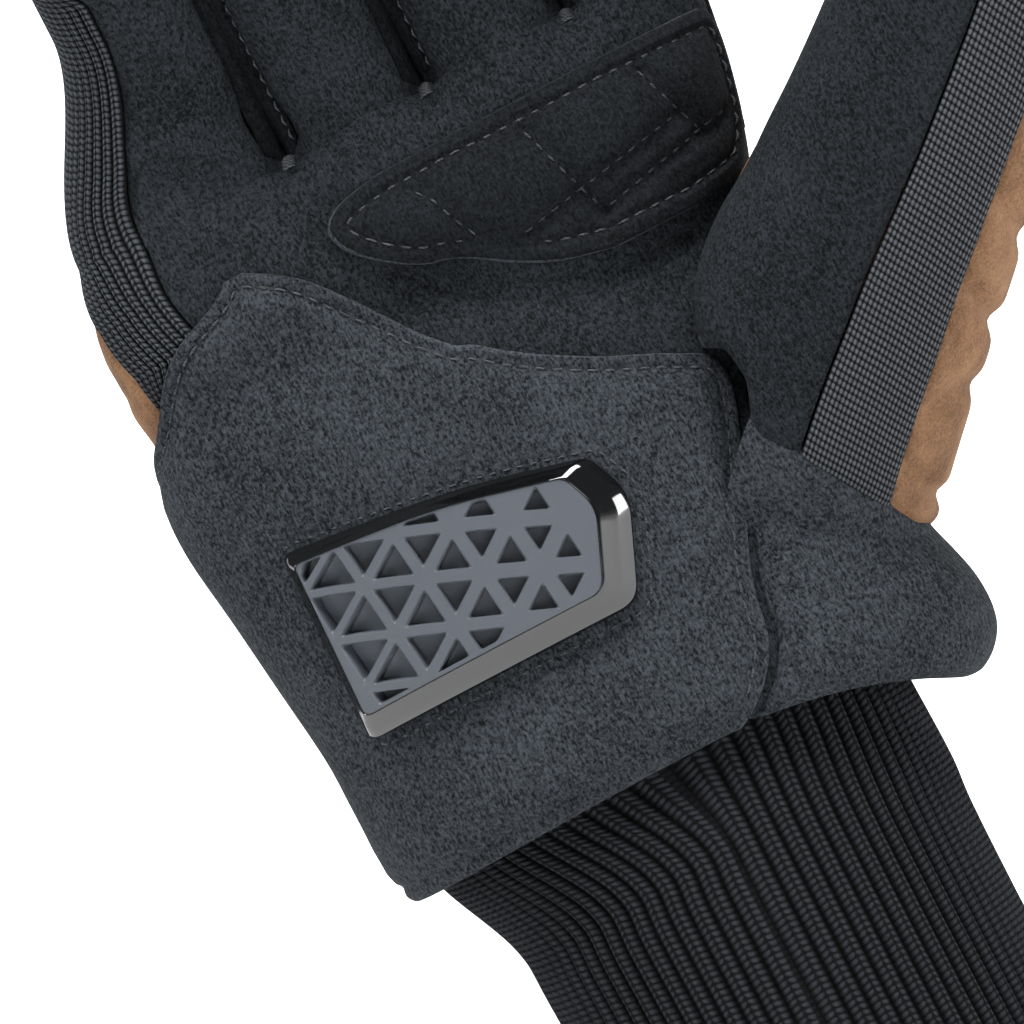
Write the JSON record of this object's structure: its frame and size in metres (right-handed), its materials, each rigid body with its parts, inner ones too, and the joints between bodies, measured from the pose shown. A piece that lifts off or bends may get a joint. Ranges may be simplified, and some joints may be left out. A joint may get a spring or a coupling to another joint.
{
  "type": "motorcycle glove",
  "caption": "Right-hand winter riding glove with suede palm, padded heel patch, hard lattice palm slider, quilted grip patch, knit strips and a long ribbed cuff.",
  "frame": {"origin": "middle of the cuff's mouth, where the wrist goes in", "axes": "+Z from the cuff to the fingertips, -Y out of the palm, +X towards the thumb"},
  "size_m": [0.1741, 0.0821, 0.27],
  "materials": {
    "charcoal_suede": "napped suede",
    "brown_suede": "napped suede",
    "black_rib_knit": "ribbed knit",
    "slider_plastic": "moulded, satin face and gloss edge",
    "backing_plastic": "moulded, satin"
  },
  "bodies": {
    "root": {"palm_panel": "charcoal_suede", "back_panel": "brown_suede", "little_side_gusset": "black_rib_knit", "fourchette_little_ring": "charcoal_suede", "fourchette_ring_middle": "charcoal_suede", "fourchette_middle_index": "charcoal_suede", "index_side_strip": "charcoal_suede", "grip_patch": "charcoal_suede", "heel_patch": "charcoal_suede", "palm_slider": "slider_plastic", "slider_backing": "backing_plastic", "wrist_panel": "charcoal_suede", "thumb_front": "charcoal_suede", "thumb_band": "black_rib_knit", "thumb_back": "brown_suede", "knit_cuff": "black_rib_knit"}
  },
  "joints": []
}
